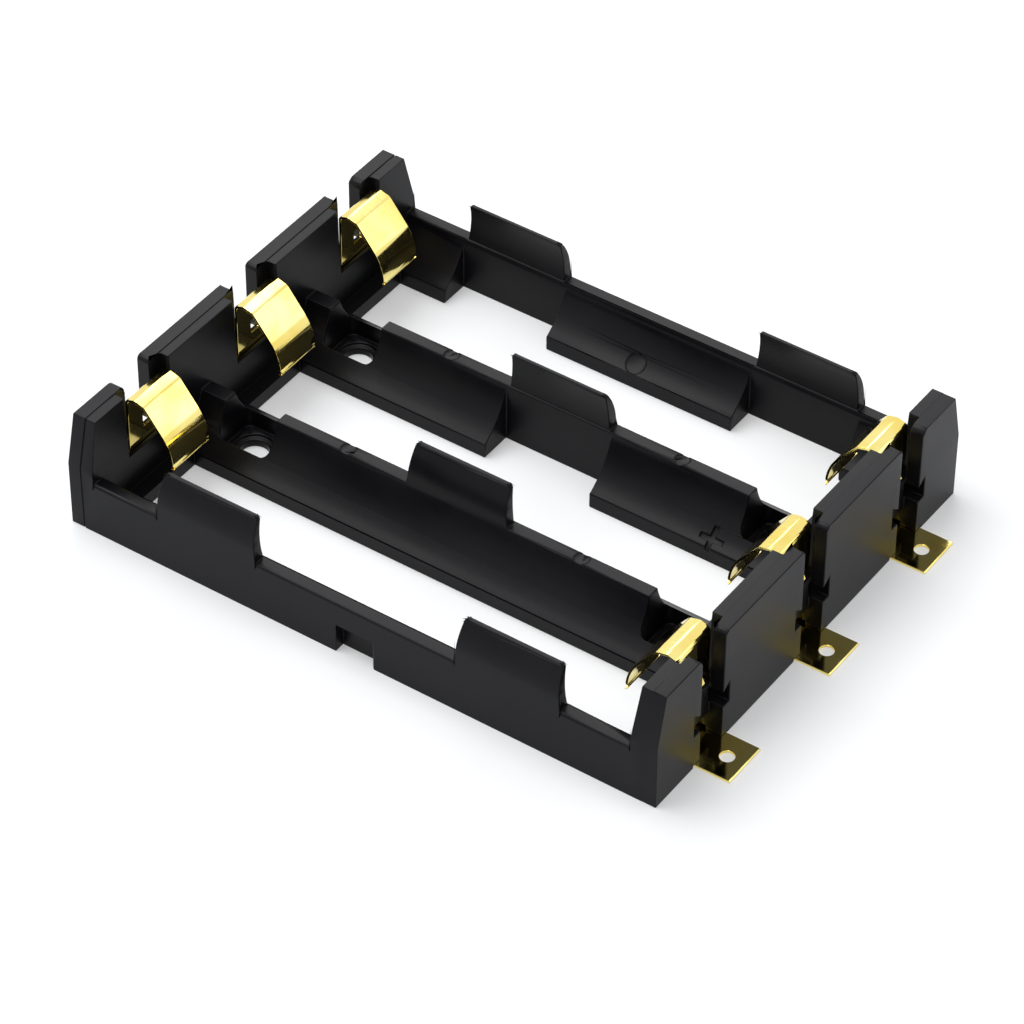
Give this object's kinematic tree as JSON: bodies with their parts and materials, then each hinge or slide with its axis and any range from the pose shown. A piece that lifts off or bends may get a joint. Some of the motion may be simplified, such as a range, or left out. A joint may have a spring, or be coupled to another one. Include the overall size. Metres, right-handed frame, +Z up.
{
  "type": "battery cell holder bracket",
  "caption": "Open black holder frame for cylindrical cells side by side, with cell clips, gilt leaf contacts at both ends and flat solder tabs.",
  "frame": {"origin": "centre of the holder in plan, at the underside that rests on the board", "axes": "+X along the cells towards one row of solder tabs, +Y across the bays, +Z up from the board"},
  "size_m": [0.0864, 0.0604, 0.0154],
  "materials": {
    "frame": "satin moulded",
    "contact": "polished gold plating"
  },
  "bodies": {
    "root": {"holder_frame": "frame", "left_contact_1": "contact", "left_contact_2": "contact", "left_contact_3": "contact", "right_contact_1": "contact", "right_contact_2": "contact", "right_contact_3": "contact"}
  },
  "joints": []
}
